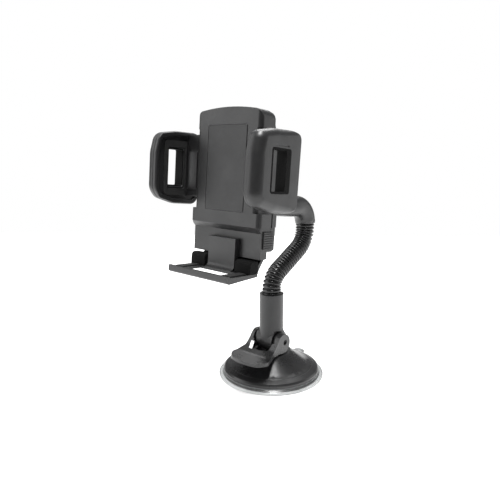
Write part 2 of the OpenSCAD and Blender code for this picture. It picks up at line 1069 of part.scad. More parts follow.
module foot() {
    color("#3c3c3c")
    in_cradle()
        difference() {
            union() {
                across(-11.9, 11.9)
                    polygon(rounded([[-16.8, -3.8, 0.2], [-16.8, 0, 0.5], [-36.6, 0, 3],
                                     [tray_top, 4.5, 3], [tray_top, 9, 0.5],
                                     [-40.9, 9, 0.5], [-39.8, -3.8, 0.5]]));
                across(-tray_hw, tray_hw)
                    polygon(rounded([[-39.8, -6.7, 0.5], [-42, tray_front - 1.8, 2],
                                     [-41, tray_front, 1], [-37, tray_front, 0.8],
                                     [-37, tray_front - 2, 0.6],
                                     [tray_top, tray_front - 2.6, 0.4],
                                     [tray_top, -6.7, 0.5]]));
                across(-26, 26)
                    rear_wall();
                for (s = [-1, 1])
                    tray_ear(s);
                box([-5.9, -39, -8.6], [5.9, -17.6, -3.7]);
                box([-10, -27.5, -8.6], [10, 6, -6.4]);
            }
            tray_window();
            box([2 - tray_hw, -44, -5], [tray_hw - 2, tray_top - 1.6, tray_front - 2]);
        }
}

// wall that runs up behind the housing's lower lip, drawn as (v, w)
module rear_wall() {
    polygon([[step_v - 0.5, -13.2], [-28.7, -13.2], [-35.4, -8.6], [-39.6, -6.7],
             [-38.4, -5], [-34.6, -5.8], [lower_v - 0.7, step_w - 0.4],
             [step_v - 0.5, step_w - 0.4]]);
}

module tray_ear(s) {
    across(s > 0 ? 14 : -tray_hw, s > 0 ? tray_hw : -14)
        polygon(rounded([[-39, -6.6, 0.5], [-39, 1.2, 0.5], [-29.8, 1.2, 2.5],
                         [-29.8, -6.6, 2.5]]));
}

module tray_window() {
    box([-16, -44, 3], [16, -36, 17]);
}

module foot_grip() {
    color("#222222")
    in_cradle()
        for (s = [-1, 1])
            box([s > 0 ? 18 : -24.6, tray_top + 0.05, 2],
                [s > 0 ? 24.6 : -18, tray_top + 0.7, 17]);
}

// ------------------------------------------------------------ what to draw

suction_disc();
base_dome();
disc_post();
pivot_pin();
lock_lever();
lever_catch();
stem();
stem_ring();
neck_core_1();
neck_core_2();
neck_core_3();
neck_core_4();
neck_sleeve_1();
neck_sleeve_2();
neck_sleeve_3();
neck_sleeve_4();
elbow_arm();
ball_liner();
clamp_nut();
back_shell();
front_shell();
shell_screws();
front_pad();
jaw_left();
jaw_right();
jaw_pad_left();
jaw_pad_right();
jaw_pinion();
jaw_spring();
release_slider();
button_left();
button_right();
foot();
foot_grip();
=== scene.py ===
import json
import math

import bmesh
import bpy
from mathutils import Matrix, Vector
from mathutils.geometry import tessellate_polygon

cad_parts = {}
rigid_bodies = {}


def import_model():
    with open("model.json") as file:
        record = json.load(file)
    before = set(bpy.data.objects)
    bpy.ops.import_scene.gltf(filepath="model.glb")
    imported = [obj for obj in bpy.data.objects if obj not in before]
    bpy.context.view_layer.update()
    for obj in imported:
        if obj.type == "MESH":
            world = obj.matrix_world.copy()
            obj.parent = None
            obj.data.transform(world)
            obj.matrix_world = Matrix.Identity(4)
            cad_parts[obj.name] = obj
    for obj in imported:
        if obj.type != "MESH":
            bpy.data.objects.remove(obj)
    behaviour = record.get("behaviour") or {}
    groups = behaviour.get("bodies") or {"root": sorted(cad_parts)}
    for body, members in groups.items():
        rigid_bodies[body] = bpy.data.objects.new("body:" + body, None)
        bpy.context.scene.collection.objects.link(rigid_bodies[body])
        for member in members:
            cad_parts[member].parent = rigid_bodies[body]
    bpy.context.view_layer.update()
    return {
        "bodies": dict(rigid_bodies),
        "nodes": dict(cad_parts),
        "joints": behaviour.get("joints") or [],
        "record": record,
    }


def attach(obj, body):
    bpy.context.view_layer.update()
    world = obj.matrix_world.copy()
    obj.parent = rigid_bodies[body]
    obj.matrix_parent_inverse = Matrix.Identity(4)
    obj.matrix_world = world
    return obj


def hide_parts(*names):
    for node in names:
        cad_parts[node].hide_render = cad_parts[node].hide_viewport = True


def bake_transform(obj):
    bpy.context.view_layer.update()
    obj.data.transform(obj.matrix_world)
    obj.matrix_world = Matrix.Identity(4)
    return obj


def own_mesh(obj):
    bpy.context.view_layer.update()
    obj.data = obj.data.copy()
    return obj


MM = 0.001

# Shared sizes of the design, in millimetres. The neck stands on the stem, leans back in
# its first bend, runs straight, and comes upright again in its second bend.
STEM_TOP = 63.4
NECK_FOOT = STEM_TOP - 1.1      # the skin starts this low, inside the stem's mouth
NECK_Z = STEM_TOP + 2.6
BEND = math.radians(62)
BEND1_R = 15.0
BEND2_R = 17.9
STRAIGHT = 27.8
NECK_BORE = 5.3
RIB_R = 7.15
RIB_PITCH = 2.53
RIB_GROOVE = 1.1
RIB_CROWN = 0.22
WAY = Vector((0, math.sin(BEND), math.cos(BEND)))
JOINT_LOW = Vector((0, BEND1_R * (1 - math.cos(BEND)), NECK_Z + BEND1_R * math.sin(BEND)))
JOINT_MID = JOINT_LOW + WAY * STRAIGHT / 2
JOINT_HIGH = JOINT_LOW + WAY * STRAIGHT
NECK_Y = JOINT_HIGH.y + BEND2_R * (1 - math.cos(BEND))
NECK_END = JOINT_HIGH.z + BEND2_R * math.sin(BEND)

# the elbow turns the upright neck forward into the arm, which ends in the ball
ELBOW_Z = NECK_END + 4
ELBOW_BEND = 14.5
ELBOW_R = 7.9
ARM_Z = ELBOW_Z + ELBOW_BEND
ARM_R = 4.4
ARM_END_Y = -8.0
BALL_Y = -26.153
BALL_R = 8.0

# the cradle leans back a little about this point of its face
TILT = math.radians(5.15)
CRADLE_Y = -51.45
CRADLE_Z = 130.0


# ------------------------------------------------------------- mesh helpers

def cradle(u, v, w):
    """A point of the cradle's own frame: u across, v up its face, w out of it."""
    return Vector((u, CRADLE_Y + v * math.sin(TILT) - w * math.cos(TILT),
                   CRADLE_Z + v * math.cos(TILT) + w * math.sin(TILT)))


def rounded(corners, n):
    """Outline whose corners, (x, y, radius), are arcs of n steps."""
    out, k = [], len(corners)
    for i in range(k):
        a, b, c = (Vector(corners[(i + j) % k][:2]) for j in (-1, 0, 1))
        r = corners[i][2]
        p, q = (a - b).normalized(), (c - b).normalized()
        half = math.acos(max(-1.0, min(1.0, p.dot(q)))) / 2
        if r < 1e-6 or half > math.radians(89.5):
            out.append(b)
            continue
        m = b + (p + q).normalized() * r / math.sin(half)
        t0, t1 = b + p * r / math.tan(half) - m, b + q * r / math.tan(half) - m
        a0 = math.atan2(t0.y, t0.x)
        turn = (math.atan2(t1.y, t1.x) - a0 + math.pi) % (2 * math.pi) - math.pi
        out += [m + r * Vector((math.cos(a0 + turn * j / n), math.sin(a0 + turn * j / n)))
                for j in range(n + 1)]
    return out


def inset(loop, d, share=None):
    """The loop moved to its left by d (times each point's share): inwards when it
    runs anticlockwise."""
    out, n = [], len(loop)
    for i, p in enumerate(loop):
        e1, e2 = (p - loop[i - 1]), (loop[(i + 1) % n] - p)
        n1 = Vector((-e1.y, e1.x)).normalized()
        n2 = Vector((-e2.y, e2.x)).normalized()
        m = (n1 + n2).normalized()
        move = d * (share[i] if share else 1.0)
        out.append(p + m * move / max(m.dot(n1), 0.45))
    return out


def anticlockwise(loop):
    area = sum(a.x * b.y - b.x * a.y for a, b in zip(loop, loop[1:] + loop[:1]))
    return loop if area > 0 else loop[::-1]


def rectangle(x0, x1, y0, y1):
    return [Vector((x0, y0)), Vector((x1, y0)), Vector((x1, y1)), Vector((x0, y1))]


def soft_rectangle(x0, x1, y0, y1, r, n):
    return rounded([(x0, y0, r), (x1, y0, r), (x1, y1, r), (x0, y1, r)], n)


def from_the_side(side):
    """Places plates drawn in the cradle's (v, w) plane, with their thickness across it."""
    def place(v, w, u):
        return cradle(side * u, v, w)

    return place


def smooth(value, low, high):
    """0 below low, 1 above high, with a soft step between."""
    t = max(0.0, min(1.0, (value - low) / (high - low)))
    return t * t * (3 - 2 * t)


POCKET_LIP = 0.15


class Solid:
    """Collects closed shells, each drawn flat and placed by a function."""

    def __init__(self):
        self.verts, self.faces = [], []

    def add(self, verts, faces, place):
        base = len(self.verts)
        self.verts += [place(*v) for v in verts]
        self.faces += [tuple(base + i for i in f) for f in faces]

    def slab(self, outline, z0, z1, place, r0=0.0, r1=0.0, holes=(), hole_r=0.0,
             pockets=(), steps=4, ease=None):
        """A plate from z0 to z1 whose rims have fillets r0 and r1. Pockets are
        (loop, depth) sunk into its z1 side, and ease(point) scales the outline's
        fillet at that point."""
        levels = fillet_levels(z0, z1, r0, r1, steps)
        hole_levels = fillet_levels(z0, z1, hole_r, hole_r, max(2, steps - 1))
        verts, faces, caps = [], [], [[], []]
        for loop, plan, sign in [(outline, levels, 1)] + [(h, hole_levels, -1) for h in holes]:
            base, n = len(verts), len(loop)
            for d, z in plan:
                share = [ease(p) if ease and sign > 0 else 1.0 for p in loop]
                verts += [(p.x, p.y, z) for p in inset(loop, sign * d, share)]
            faces += [tuple(base + i for i in f) for f in ring_faces(len(plan), n)]
            caps[0].append(list(range(base, base + n)))
            caps[1].append(list(range(len(verts) - n, len(verts))))
        for loop, depth in pockets:
            base, n = len(verts), len(loop)
            for d, z in ((-POCKET_LIP, z1), (0.0, z1 - POCKET_LIP), (0.0, z1 - depth)):
                verts += [(p.x, p.y, z) for p in inset(loop, d)]
            faces += [tuple(base + i for i in f) for f in ring_faces(3, n)]
            faces.append(tuple(range(base + 2 * n, base + 3 * n)))
            caps[1].append(list(range(base, base + n)))
        for rings in caps:
            faces += cap_faces(verts, rings)
        self.add(verts, faces, place)

    def make(self, name, material, body, slot):
        """The shells as one object that rides on a body."""
        obj = mesh_object(name, self.verts, self.faces)
        weighted_normals(obj)
        dress(obj, material, slot)
        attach(obj, body)
        return obj


def fillet_levels(z0, z1, r0, r1, steps):
    """(inset, height) of each ring from the low rim to the high one."""
    levels = []
    for i in range(steps + 1 if r0 else 1):
        a = math.pi / 2 * i / steps if r0 else math.pi / 2
        levels.append((r0 * (1 - math.sin(a)), z0 + r0 * (1 - math.cos(a))))
    for i in range(steps + 1 if r1 else 1):
        a = math.pi / 2 * i / steps
        levels.append((r1 * (1 - math.cos(a)), z1 - r1 * (1 - math.sin(a))))
    return levels


def cap_faces(verts, rings):
    """Triangles that fill a flat cap between its outline and its holes."""
    if len(rings) == 1:
        return [tuple(rings[0])]
    index = [i for ring in rings for i in ring]
    flat = [[Vector((verts[i][0], verts[i][1], 0)) for i in ring] for ring in rings]
    return [tuple(index[i] for i in tri) for tri in tessellate_polygon(flat)]


def mesh_object(name, verts, faces, scale=MM):
    """A smooth-shaded mesh object from points, in millimetres unless scale says."""
    mesh = bpy.data.meshes.new(name)
    mesh.from_pydata([Vector(v) * scale for v in verts], [], faces)
    mesh.validate()
    bm = bmesh.new()
    bm.from_mesh(mesh)
    bmesh.ops.recalc_face_normals(bm, faces=bm.faces)
    bm.to_mesh(mesh)
    bm.free()
    mesh.polygons.foreach_set("use_smooth", [True] * len(mesh.polygons))
    obj = bpy.data.objects.new(name, mesh)
    bpy.context.scene.collection.objects.link(obj)
    return obj


def ring_faces(rows, count, closed_rows=False):
    """Quads between successive rings of count points each."""
    faces = []
    last = rows if closed_rows else rows - 1
    for i in range(last):
        a, b = i * count, ((i + 1) % rows) * count
        for k in range(count):
            n = (k + 1) % count
            faces.append((a + k, a + n, b + n, b + k))
    return faces


def tube(name, centres, radii, bore, count):
    """A tube swept in the plane x = 0, with its own radius at each centre. A bore of 0
    makes it solid."""
    verts = []
    total = len(centres)
    tangents = []
    for i in range(total):
        lo, hi = centres[max(i - 1, 0)], centres[min(i + 1, total - 1)]
        tangents.append((hi - lo).normalized())
    rings = [(c, t, r) for c, t, r in zip(centres, tangents, radii)]
    if bore:
        rings += [(c, t, bore) for c, t in zip(reversed(centres), reversed(tangents))]
    for c, t, r in rings:
        side = Vector((0, t.z, -t.y))
        for k in range(count):
            a = 2 * math.pi * k / count
            verts.append(c + Vector((1, 0, 0)) * r * math.cos(a) + side * r * math.sin(a))
    faces = ring_faces(len(rings), count, closed_rows=bool(bore))
    if not bore:
        last = (len(rings) - 1) * count
        faces.append(tuple(range(count)))
        faces.append(tuple(last + k for k in range(count)))
    return mesh_object(name, verts, faces)


def lathe(name, profile, count):
    """A solid of revolution about Z from (radius, z) points that start and end on Z."""
    verts, faces, rows = [], [], []
    for r, z in profile:
        if r < 1e-6:
            rows.append([len(verts)])
            verts.append((0, 0, z))
        else:
            rows.append(list(range(len(verts), len(verts) + count)))
            for k in range(count):
                a = 2 * math.pi * k / count
                verts.append((r * math.cos(a), r * math.sin(a), z))
    for a, b in zip(rows, rows[1:]):
        for k in range(count):
            n = (k + 1) % count
            quad = [a[k % len(a)], a[n % len(a)], b[n % len(b)], b[k % len(b)]]
            quad = [v for i, v in enumerate(quad) if v not in quad[:i]]
            if len(quad) > 2:
                faces.append(quad)
    return mesh_object(name, verts, faces)


def weighted_normals(obj):
    normals = obj.modifiers.new("normals", "WEIGHTED_NORMAL")
    normals.keep_sharp = False
    normals.weight = 80


def soften(obj, width):
    """Rounds the sharp edges of a piece whose faces meet squarely. Its flat faces are
    joined first, so that the bevel follows real edges only."""
    weld = obj.modifiers.new("weld", "WELD")
    weld.merge_threshold = 0.002 * MM
    flat = obj.modifiers.new("flat", "DECIMATE")
    flat.decimate_type = "DISSOLVE"
    flat.angle_limit = math.radians(0.6)
    flat.delimit = {"NORMAL"}
    bevel = obj.modifiers.new("bevel", "BEVEL")
    bevel.width = width * MM
    bevel.segments = 2
    bevel.limit_method = "ANGLE"
    bevel.angle_limit = math.radians(28)
    bevel.use_clamp_overlap = True
    bevel.miter_outer = "MITER_ARC"
    weighted_normals(obj)
    obj.data.polygons.foreach_set("use_smooth", [True] * len(obj.data.polygons))


def dress(obj, material, slot, *nodes):
    """Gives a piece its material, and hides the CAD nodes it stands for. The slot is not used.
    """
    obj.data.materials.append(material)
    if nodes:
        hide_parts(*nodes)


# ---------------------------------------------------------------- materials

class Shader:
    """A Principled material and the few node patterns that all of them share."""

    def __init__(self, name):
        self.material = bpy.data.materials.new(name)
        self.material.use_nodes = True
        self.nodes = self.material.node_tree.nodes
        self.links = self.material.node_tree.links
        self.nodes.clear()
        out = self.nodes.new("ShaderNodeOutputMaterial")
        self.bsdf = self.nodes.new("ShaderNodeBsdfPrincipled")
        self.links.new(self.bsdf.outputs["BSDF"], out.inputs["Surface"])
        self.coords = self.nodes.new("ShaderNodeTexCoord")

    def noise(self, scale, detail=3.0, roughness=0.55):
        """Noise in object space, with about scale cells to the metre."""
        node = self.nodes.new("ShaderNodeTexNoise")
        node.inputs["Scale"].default_value = scale
        node.inputs["Detail"].default_value = detail
        node.inputs["Roughness"].default_value = roughness
        self.links.new(self.coords.outputs["Object"], node.inputs["Vector"])
        return node.outputs["Fac"]

    def spread(self, value, low, high, a=0.3, b=0.7):
        """The value's part between a and b, stretched to run from low to high."""
        node = self.nodes.new("ShaderNodeMapRange")
        node.inputs["From Min"].default_value = a
        node.inputs["From Max"].default_value = b
        node.inputs["To Min"].default_value = low
        node.inputs["To Max"].default_value = high
        self.links.new(value, node.inputs["Value"])
        return node.outputs["Result"]

    def blend(self, factor, dark, light):
        """A mix of two colours, each a tuple or another node's output."""
        node = self.nodes.new("ShaderNodeMix")
        node.data_type = "RGBA"
        for socket, colour in ((node.inputs[6], dark), (node.inputs[7], light)):
            if isinstance(colour, tuple):
                socket.default_value = (*colour, 1.0)
            else:
                self.links.new(colour, socket)
        self.links.new(factor, node.inputs[0])
        return node.outputs[2]

    def maths(self, operation, a, b):
        node = self.nodes.new("ShaderNodeMath")
        node.operation = operation
        for socket, value in zip(node.inputs, (a, b)):
            if isinstance(value, (int, float)):
                socket.default_value = value
            else:
                self.links.new(value, socket)
        return node.outputs[0]

    def edges(self):
        """How much a point sits on a rubbed outer edge."""
        node = self.nodes.new("ShaderNodeNewGeometry")
        return self.spread(node.outputs["Pointiness"], 0.0, 1.0, 0.52, 0.6)

    def bump(self, height, depth, strength):
        """Relief of a depth in millimetres."""
        node = self.nodes.new("ShaderNodeBump")
        node.inputs["Strength"].default_value = strength
        node.inputs["Distance"].default_value = depth * MM
        self.links.new(height, node.inputs["Height"])
        self.links.new(node.outputs["Normal"], self.bsdf.inputs["Normal"])

    def feed(self, socket, value):
        """Joins a node's output to an input of the Principled shader."""
        self.links.new(value, self.bsdf.inputs[socket])

    def fix(self, **values):
        """Sets plain values on the Principled shader's inputs."""
        for socket, value in values.items():
            self.bsdf.inputs[socket.replace("_", " ")].default_value = value


def plastic(name, tone, rough, grain, depth, wear=0.35):
    """Moulded plastic: fine spark-eroded grain, faint flow marks and rubbed edges."""
    s = Shader(name)
    dark = tuple(c * 0.82 for c in tone)
    light = tuple(c * 1.16 for c in tone)
    worn = tuple(min(c * 2.1 + 0.012, 1.0) for c in tone)
    flow_marks = s.spread(s.noise(38.0, 4.0), 0.0, 1.0)
    base = s.blend(flow_marks, dark, light)
    rubbed = s.maths("MULTIPLY", s.edges(), s.spread(s.noise(260.0), 0.0, wear))
    s.feed("Base Color", s.blend(rubbed, base, worn))
    fine = s.noise(grain, 2.0, 0.6)
    smudge = s.spread(s.noise(70.0, 5.0), -0.045, 0.05)
    s.feed("Roughness", s.maths("ADD", s.spread(fine, rough - 0.03, rough + 0.03), smudge))
    s.bump(fine, depth, 0.8)
    s.fix(Specular_IOR_Level=0.5, IOR=1.5)
    return s.material


def rubber(name, tone, rough, grain, depth, specular=0.35):
    """Soft black rubber or foam with a dusty bloom; with a near-black tone and little shine it
    also makes the painted shade.
    """
    s = Shader(name)
    dust = s.spread(s.noise(140.0, 6.0, 0.7), 0.0, 1.0, 0.45, 0.75)
    s.feed("Base Color", s.blend(dust, tone, tuple(c * 1.7 for c in tone)))
    fine = s.noise(grain, 3.0, 0.7)
    s.feed("Roughness", s.spread(fine, rough - 0.05, rough + 0.07))
    s.bump(fine, depth, 0.9)
    s.fix(Specular_IOR_Level=specular, Sheen_Weight=0.1 * specular, Sheen_Roughness=0.5)
    return s.material


def clear_vinyl(name):
    """Clear soft PVC, smoky and slightly milky, with small surface ripples."""
    s = Shader(name)
    haze = s.noise(90.0, 4.0)
    s.feed("Base Color", s.blend(s.spread(haze, 0, 1), (0.30, 0.31, 0.31), (0.42, 0.43, 0.43)))
    s.feed("Roughness", s.spread(haze, 0.16, 0.24))
    s.feed("Alpha", s.spread(s.noise(60.0), 0.90, 0.97))
    s.bump(s.noise(160.0, 2.0), 0.05, 0.4)
    s.fix(Transmission_Weight=1.0, IOR=1.5)
    return s.material


def nylon(name):
    """Natural white nylon, faintly cloudy."""
    s = Shader(name)
    cloud = s.noise(180.0, 4.0)
    s.feed("Base Color", s.blend(s.spread(cloud, 0, 1), (0.72, 0.71, 0.67), (0.82, 0.81, 0.78)))
    s.feed("Roughness", s.spread(s.noise(900.0), 0.32, 0.45))
    s.bump(s.noise(1800.0), 0.01, 0.5)
    s.fix(Subsurface_Weight=0.08, Subsurface_Scale=1.0 * MM)
    return s.material


def steel(name):
    """Drawn steel with a fine, uneven polish."""
    s = Shader(name)
    tone = (0.62, 0.62, 0.63)
    drawn = s.noise(1400.0, 3.0, 0.7)
    s.feed("Base Color", s.blend(s.spread(s.noise(220.0), 0, 1), tone,
                                 tuple(c * 1.18 for c in tone)))
    s.feed("Roughness", s.spread(drawn, 0.20, 0.38))
    s.bump(drawn, 0.006, 0.6)
    s.fix(Metallic=1.0)
    return s.material


def make_materials():
    return {
        "satin": plastic("black_satin", (0.013, 0.013, 0.0135), 0.40, 2600.0, 0.014),
        "gloss": plastic("black_gloss", (0.015, 0.015, 0.0155), 0.29, 1500.0, 0.006),
        "textured": plastic("black_textured", (0.014, 0.014, 0.0145), 0.50, 1900.0, 0.03),
        "rubber": rubber("black_rubber", (0.011, 0.011, 0.011), 0.62, 2400.0, 0.03),
        # near-black and nearly unreflecting: painted shade, used by the ear covers, window
        # sleeves and pad strips
        "cap": rubber("painted_shade_black", (0.003, 0.003, 0.003), 0.75, 2400.0, 0.02, 0.12),
        "neck": plastic("neck_black", (0.004, 0.004, 0.0042), 0.28, 2200.0, 0.006, wear=0.3),
        "clear": clear_vinyl("clear_pvc"),
        "nylon": nylon("white_nylon"),
        "steel": steel("steel"),
    }


# --------------------------------------------------------------------- neck

def neck_stretches():
    """Lengths of the neck's route: foot, lower bend, straight, upper bend, collar."""
    return (NECK_Z - NECK_FOOT, BEND1_R * BEND, STRAIGHT, BEND2_R * BEND, ELBOW_Z - NECK_END)


def neck_point(s):
    """The centre of the neck at a length s up its route."""
    lower, arc1, straight, arc2, _ = neck_stretches()
    if s < lower:
        return Vector((0, 0, NECK_FOOT + s))
    s -= lower
    if s < arc1:
        a = s / BEND1_R
        return Vector((0, BEND1_R * (1 - math.cos(a)), NECK_Z + BEND1_R * math.sin(a)))
    s -= arc1
    if s < straight:
        return JOINT_LOW + WAY * s
    s -= straight
    if s < arc2:
        a = BEND - s / BEND2_R
        return Vector((0, NECK_Y - BEND2_R * (1 - math.cos(a)),
                       NECK_END - BEND2_R * math.sin(a)))
    s -= arc2
    return Vector((0, NECK_Y, NECK_END + s))


def rib_radius(s):
    """Rounded rings with a narrow groove between them."""
    phase = (s / RIB_PITCH) % 1.0
    d = min(phase, 1.0 - phase)
    groove = RIB_GROOVE * math.exp(-((d / 0.15) ** 2))
    crown = RIB_CROWN * (2 * (0.5 - d)) ** 2
    return RIB_R - groove - crown


def build_neck(mats):
    """Three ribbed skins, one for each joint of the neck, that meet in grooves."""
    total = sum(neck_stretches())
    count = round(total * 10 / RIB_PITCH)
    stations = [total * i / count for i in range(count + 1)]
    step = RIB_PITCH / 10
    straight_start = sum(neck_stretches()[:2])
    cuts = [round((straight_start + STRAIGHT * f) / RIB_PITCH) * RIB_PITCH for f in (0.25, 0.75)]
    ends = [0.0, *cuts, total]
    joints = [(JOINT_LOW, "stem", "neck_low", ["neck_sleeve_1"]),
              (JOINT_MID, "neck_low", "neck_high", ["neck_sleeve_2"]),
              (JOINT_HIGH, "neck_high", "elbow", ["neck_sleeve_3", "neck_sleeve_4"])]
    for i, (joint, low_body, high_body, nodes) in enumerate(joints):
        part = [s for s in stations if ends[i] - 1e-6 <= s <= ends[i + 1] + step / 2]
        skin = tube(f"neck_skin_{i + 1}", [neck_point(s) for s in part],
                    [rib_radius(s) for s in part], NECK_BORE, 56)
        dress(skin, mats["neck"], "neck_black", *nodes)
        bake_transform(skin)


# ------------------------------------------------------------ elbow and arm

def build_elbow(mats):
    """The bent arm: a collar at the neck, a round elbow and a taper to the ball."""
    centres, radii = [], []

    def add(y, z, radius):
        centres.append(Vector((0, y, z)))
        radii.append(radius)

    for up, radius in ((0.05, 7.0), (0.05, 7.5), (0.35, 7.85), (0.9, ELBOW_R), (2.0, ELBOW_R)):
        add(NECK_Y, ELBOW_Z + up, radius)
    for i in range(2, 25):
        a = math.pi / 2 * i / 24
        add(NECK_Y - ELBOW_BEND * (1 - math.cos(a)), ELBOW_Z + ELBOW_BEND * math.sin(a), ELBOW_R)
    arm_start_y = NECK_Y - ELBOW_BEND
    for i in range(1, 31):
        t = i / 30
        add(arm_start_y + (ARM_END_Y - arm_start_y) * t, ARM_Z,
            ELBOW_R + (ARM_R - ELBOW_R) * smooth(t, 0, 1))
    meets = math.asin(ARM_R / BALL_R)
    for i in range(21):
        a = meets + (math.pi - 0.05 - meets) * i / 20
        add(BALL_Y + BALL_R * math.cos(a), ARM_Z, BALL_R * math.sin(a))
    arm = tube("elbow_arm_skin", centres, radii, 0, 56)
    dress(arm, mats["satin"], "black_satin", "elbow_arm")
    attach(arm, "elbow")


# ------------------------------------------------------------- suction base

def build_disc(mats):
    """Clear cup: a thin skirt with a raised lip, and a hub that follows its post."""
    under = [(0, 1.5), (18, 1.25), (30, 0.55), (34.5, 0.12), (36.5, 0.0), (38.6, 0.0)]
    lip = [(39.5, 0.12), (39.95, 0.5), (40.0, 0.9), (39.85, 1.4), (39.3, 1.85), (38.2, 2.2),
           (37.2, 2.95), (36.6, 3.15)]
    top = [(33, 3.2), (28, 3.3), (14, 4.4)]
    hub = [(10.0, 5.2), (9.9, 9.5), (8.2, 9.6), (8.15, 7.6), (8.15, 4.45), (0, 4.4)]
    cup = lathe("suction_cup", under + lip + top + hub, 160)
    dress(cup, mats["clear"], "clear_pvc", "suction_disc")
    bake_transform(cup)


def build_tab(mats):
    """The pull tab at the rear of the cup: a round-ended tongue with a flared root."""
    middle, tip_r, edge = 46, 5, 0.35
    outline = []
    for degrees in range(-90, 91, 10):
        a = math.radians(degrees)
        outline.append(Vector((middle + tip_r * math.cos(a), tip_r * math.sin(a))))
    root = [(41, 5.4), (39.2, 7.2), (38.5, 7.2)]
    outline += [Vector(p) for p in root]
    outline += [Vector((x, -y)) for x, y in reversed(root)]
    centre = Vector((44, 0))
    verts, count = [], len(outline)
    for shrink, z in ((edge, 0.45), (0.0, 0.7), (0.0, 1.35), (edge, 1.6)):
        for point in outline:
            out = point - centre
            flat = centre + out - out.normalized() * shrink
            verts.append((flat.x, flat.y, z))
    faces = ring_faces(4, count)
    faces += [tuple(range(count)), tuple(range(3 * count, 4 * count))]
    tab = mesh_object("pull_tab", verts, faces)
    tab.data.transform(Matrix.Rotation(math.radians(98), 4, "Z"))
    dress(tab, mats["clear"], "clear_pvc")
    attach(tab, "base")


# --------------------------------------------------------------------- jaws

SIDES = ((-1, "left"), (1, "right"))
JAW_SIDE = [(1.6, -14.6, 6.2), (2.2, 8, 20), (5.8, 21.5, 7), (11.5, 26, 10), (36, 26, 16),
            (48.5, 23, 7), (51.2, 8, 20), (51.8, -15, 6.2)]
JAW_WINDOW = (14.2, 39.8, -0.5, 13.3)
JAW_FRAME = (13.9, 40.1, -4.3, 13.7)
JAW_IN = 41.0           # inner and outer face of the wall, out from the middle
JAW_OUT = 48.5
JAW_ROUNDING = 6.0
RIM_IN = 39.6
SLIDE_W = (-7.0, -4.0)

GEAR_V = 30.0           # the pinion's centre and pitch radius, with teeth of module 1
GEAR_R = 7.0
TOOTH = ((1.02, 0), (0.42, 1.6), (-0.42, 1.6), (-1.02, 0))
RACK_W = (-11.2, -8.2)
RACK_ROOT = GEAR_V - GEAR_R - 0.9
RACK_HEIGHT = 3.0
TAIL = (16.0, 18.0)     # where a link joins the rack's end to the slide

SPRING_V = 11.0
SPRING_W = -9.6
SPRING_ENDS = (-15.5, 7.5)


def jaw_solid(side):
    """One jaw: padded wall with a window, a raised rim that turns in, and its slide."""
    wall = from_the_side(side)

    def leaning(v, w, u):
        lean = 1.2 * smooth(w, 14.0, 25.0) if u < JAW_IN else 0.0
        return cradle(side * (u - lean), v, w)

    def flat(u, v, w):
        return cradle(side * u, v, w)

    def tight_at_back(point):
        return 0.25 + 0.75 * smooth(point.y, -14.0, -4.0)

    solid = Solid()
    outline = anticlockwise(rounded(JAW_SIDE, 8))
    window = soft_rectangle(*JAW_WINDOW, 1.5, 5)
    groove = rectangle(41.1, 42.0, -1.8, 10.0)
    solid.slab(outline, JAW_IN, JAW_OUT, wall, 0.5, JAW_ROUNDING, [window], 0.7,
               [(groove, 0.55)], steps=8, ease=tight_at_back)
    solid.slab(inset(outline, 0.25), RIM_IN, JAW_IN + 0.6, leaning, 1.0, 0.3,
               [inset(outline, 3.4)], 0.7)
    solid.slab(soft_rectangle(16, 42, 8, 49.8, 0.6, 3), *SLIDE_W, flat, 0.3, 0.3)
    solid.slab(soft_rectangle(30.4, 39.4, 12.6, 38.6, 1, 4), SLIDE_W[1] - 0.3,
               SLIDE_W[1] + 0.6, flat, 0.0, 0.3)
    add_rack(solid, side)
    return solid


def add_rack(solid, side):
    """The toothed bar behind the cradle's face. The left one runs under the pinion and
    also carries the ratchet and the spring's lug; the right one runs over it."""
    left = side < 0
    low, high = (-TAIL[1], 9.0) if left else (-9.0, TAIL[1])
    base = RACK_ROOT - RACK_HEIGHT

    def place(u, v, w):
        return cradle(u, v if left else 2 * GEAR_V - v, w)

    outline = [Vector((low, base)), Vector((high, base)), Vector((high, RACK_ROOT))]
    first, last = math.ceil(low / math.pi + 0.5), math.floor(high / math.pi - 0.5)
    for i in range(last, first - 1, -1):
        outline += [Vector((math.pi * i + x, RACK_ROOT + y)) for x, y in TOOTH]
    outline.append(Vector((low, RACK_ROOT)))
    solid.slab(outline, *RACK_W, place)
    tail = (-TAIL[1], -TAIL[0]) if left else TAIL
    solid.slab(rectangle(*tail, base, RACK_ROOT), RACK_W[0], SLIDE_W[0] + 0.1, place)
    if left:
        for x in range(-13, -1, 2):
            saw = [Vector((x, base + 0.05)), Vector((x + 2, base - 1)),
                   Vector((x + 2, base + 0.05))]
            solid.slab(saw, *RACK_W, place)
        lug = rectangle(*tail, SPRING_V - 2.4, SPRING_V + 2.4)
        solid.slab(lug, RACK_W[0] - 0.2, SLIDE_W[0] + 0.1, place)


def build_jaws(mats):
    for side, hand in SIDES:
        name = "jaw_" + hand
        jaw = jaw_solid(side).make(name + "_moulding", mats["satin"], name, "black_satin")
        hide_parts(name)


def build_spring(mats):
    """The return spring, a wire coil; it is built at one length and does not shorten as the jaws
    close.
    """
    turns, wire, mean = 10, 0.4, 1.42
    rings, count = turns * 22, 10
    start, end = SPRING_ENDS
    verts = []
    for i in range(rings + 1):
        share = i / rings
        a = 2 * math.pi * turns * share
        u = start + (end - start) * share
        for k in range(count):
            b = 2 * math.pi * k / count
            r = mean + wire * math.cos(b)
            verts.append(cradle(u + wire * math.sin(b), SPRING_V + r * math.cos(a),
                                SPRING_W + r * math.sin(a)))
    faces = ring_faces(rings + 1, count)
    faces += [tuple(range(count)), tuple(rings * count + k for k in range(count))]
    spring = mesh_object("return_spring", verts, faces)
    dress(spring, mats["steel"], "steel", "jaw_spring")
    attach(spring, "cradle")
    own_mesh(spring)
